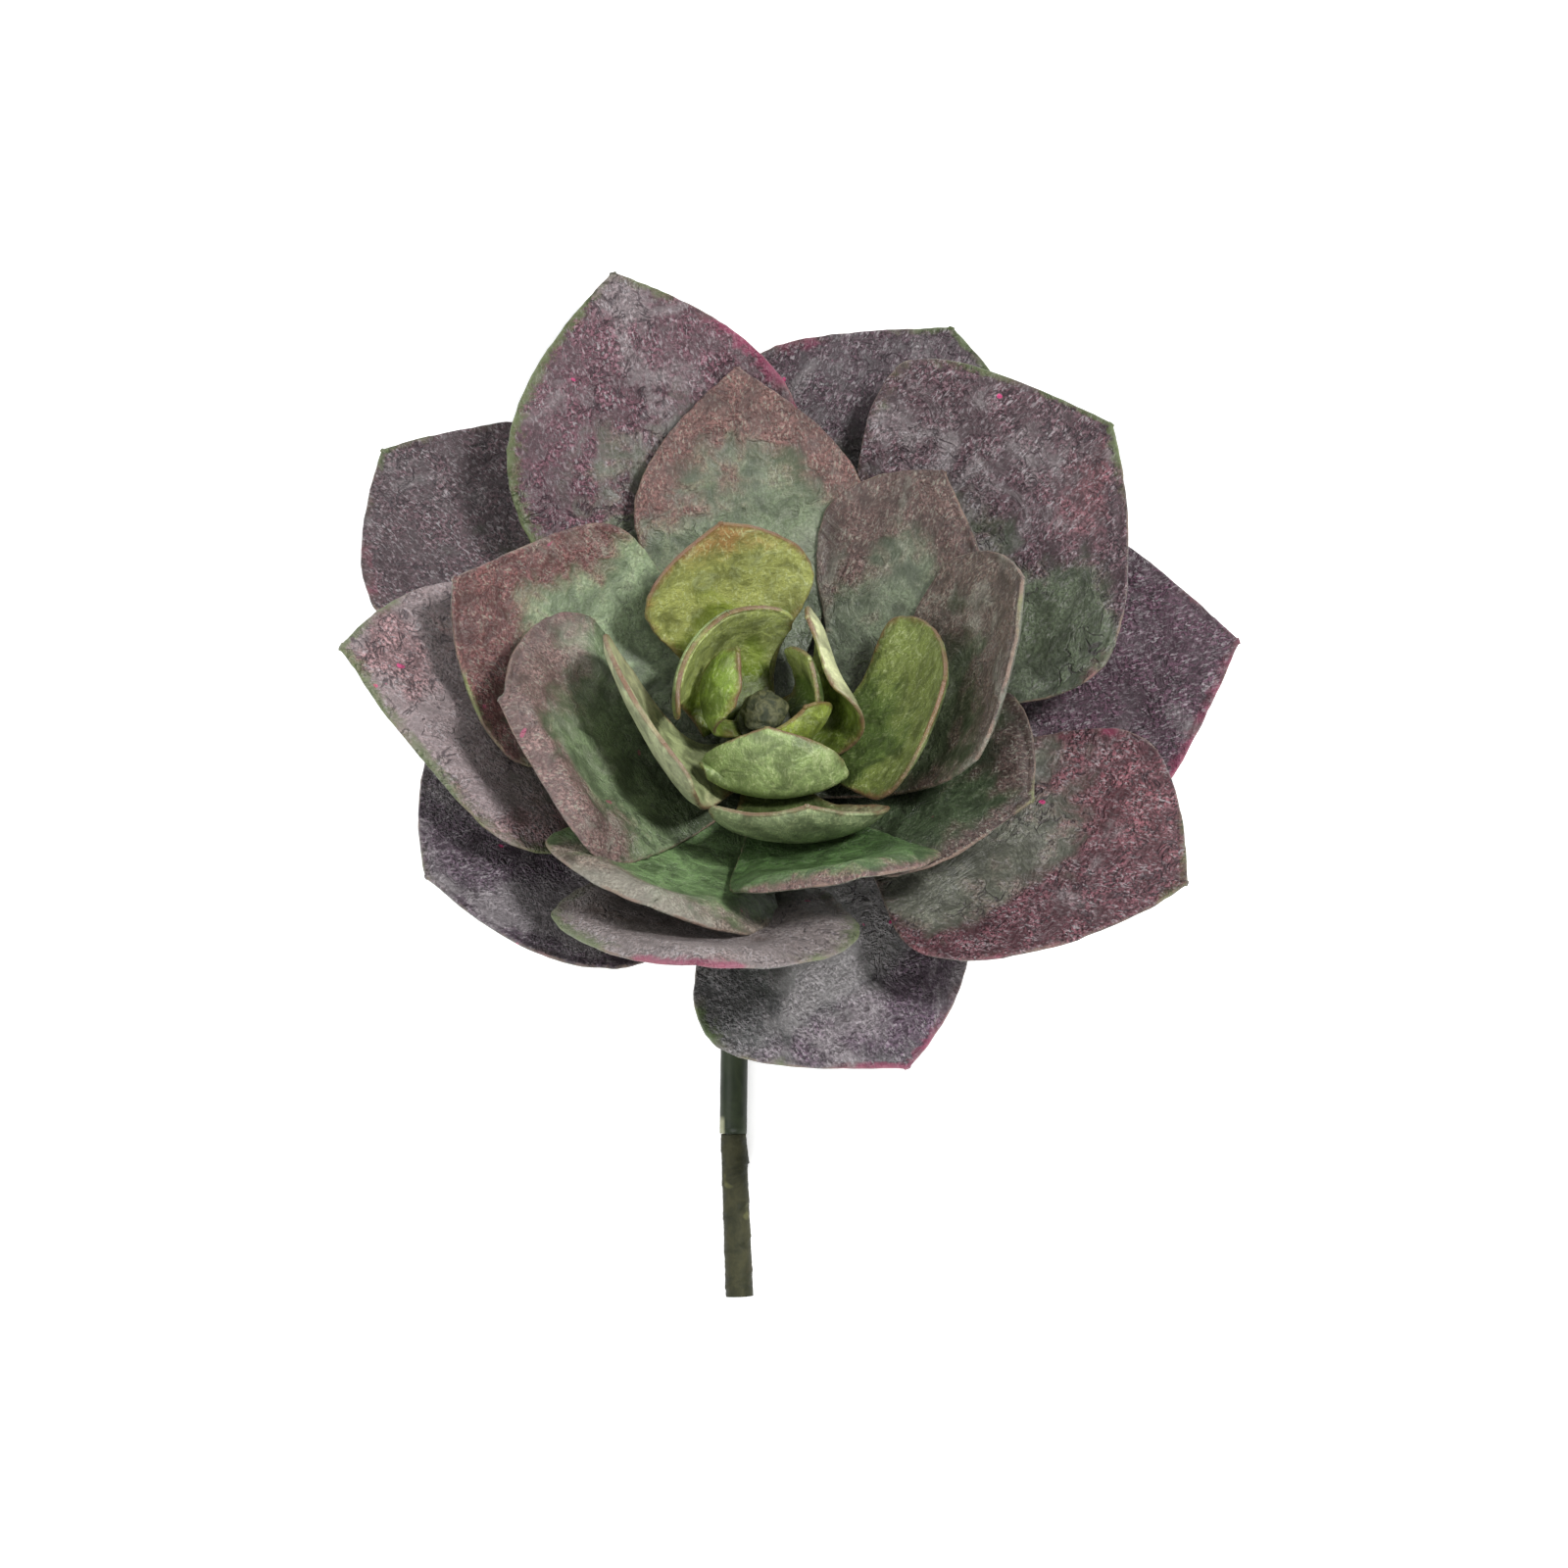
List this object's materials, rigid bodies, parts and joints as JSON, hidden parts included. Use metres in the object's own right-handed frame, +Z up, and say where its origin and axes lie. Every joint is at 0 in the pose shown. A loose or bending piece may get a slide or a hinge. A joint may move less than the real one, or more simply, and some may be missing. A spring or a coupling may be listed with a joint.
{
  "type": "artificial echeveria rosette on a wire stem",
  "caption": "Artificial echeveria: moulded rings of cupped leaves on a bent, tape-wound wire stem that lies on the ground and props the rosette up.",
  "frame": {"origin": "on the ground, below the middle of the whole plant's bounding box as it lies", "axes": "+Z up from the ground; -Y along the lying stem to its cut end; +X to the right for a viewer above who has the stem's cut end nearest"},
  "size_m": [0.1403, 0.1632, 0.0838],
  "materials": {
    "outer_leaves": "moulded soft plastic, painted dusky purple with a pale grey frosting",
    "middle_leaves": "moulded soft plastic, grey-green at the foot and brown-purple towards the tip, frosted",
    "heart_leaves": "moulded soft plastic, yellow-green with fine pale speckle and reddish rims",
    "knob": "rough, dull olive-grey",
    "sleeve": "moulded soft plastic, dark blue-green, slightly satin",
    "tape": "waxed wound tape, olive-brown, mottled",
    "wire": "cut steel wire, dull"
  },
  "bodies": {
    "root": {"leaf_ring_1_outermost": "outer_leaves", "leaf_ring_2": "outer_leaves", "leaf_ring_3": "middle_leaves", "leaf_ring_4": "middle_leaves", "leaf_ring_5": "heart_leaves", "leaf_ring_6": "heart_leaves", "leaf_ring_7_innermost": "heart_leaves", "stem_knob": "knob", "stem_sleeve": "sleeve", "stem_tape": "tape", "stem_wire": "wire"}
  },
  "joints": []
}
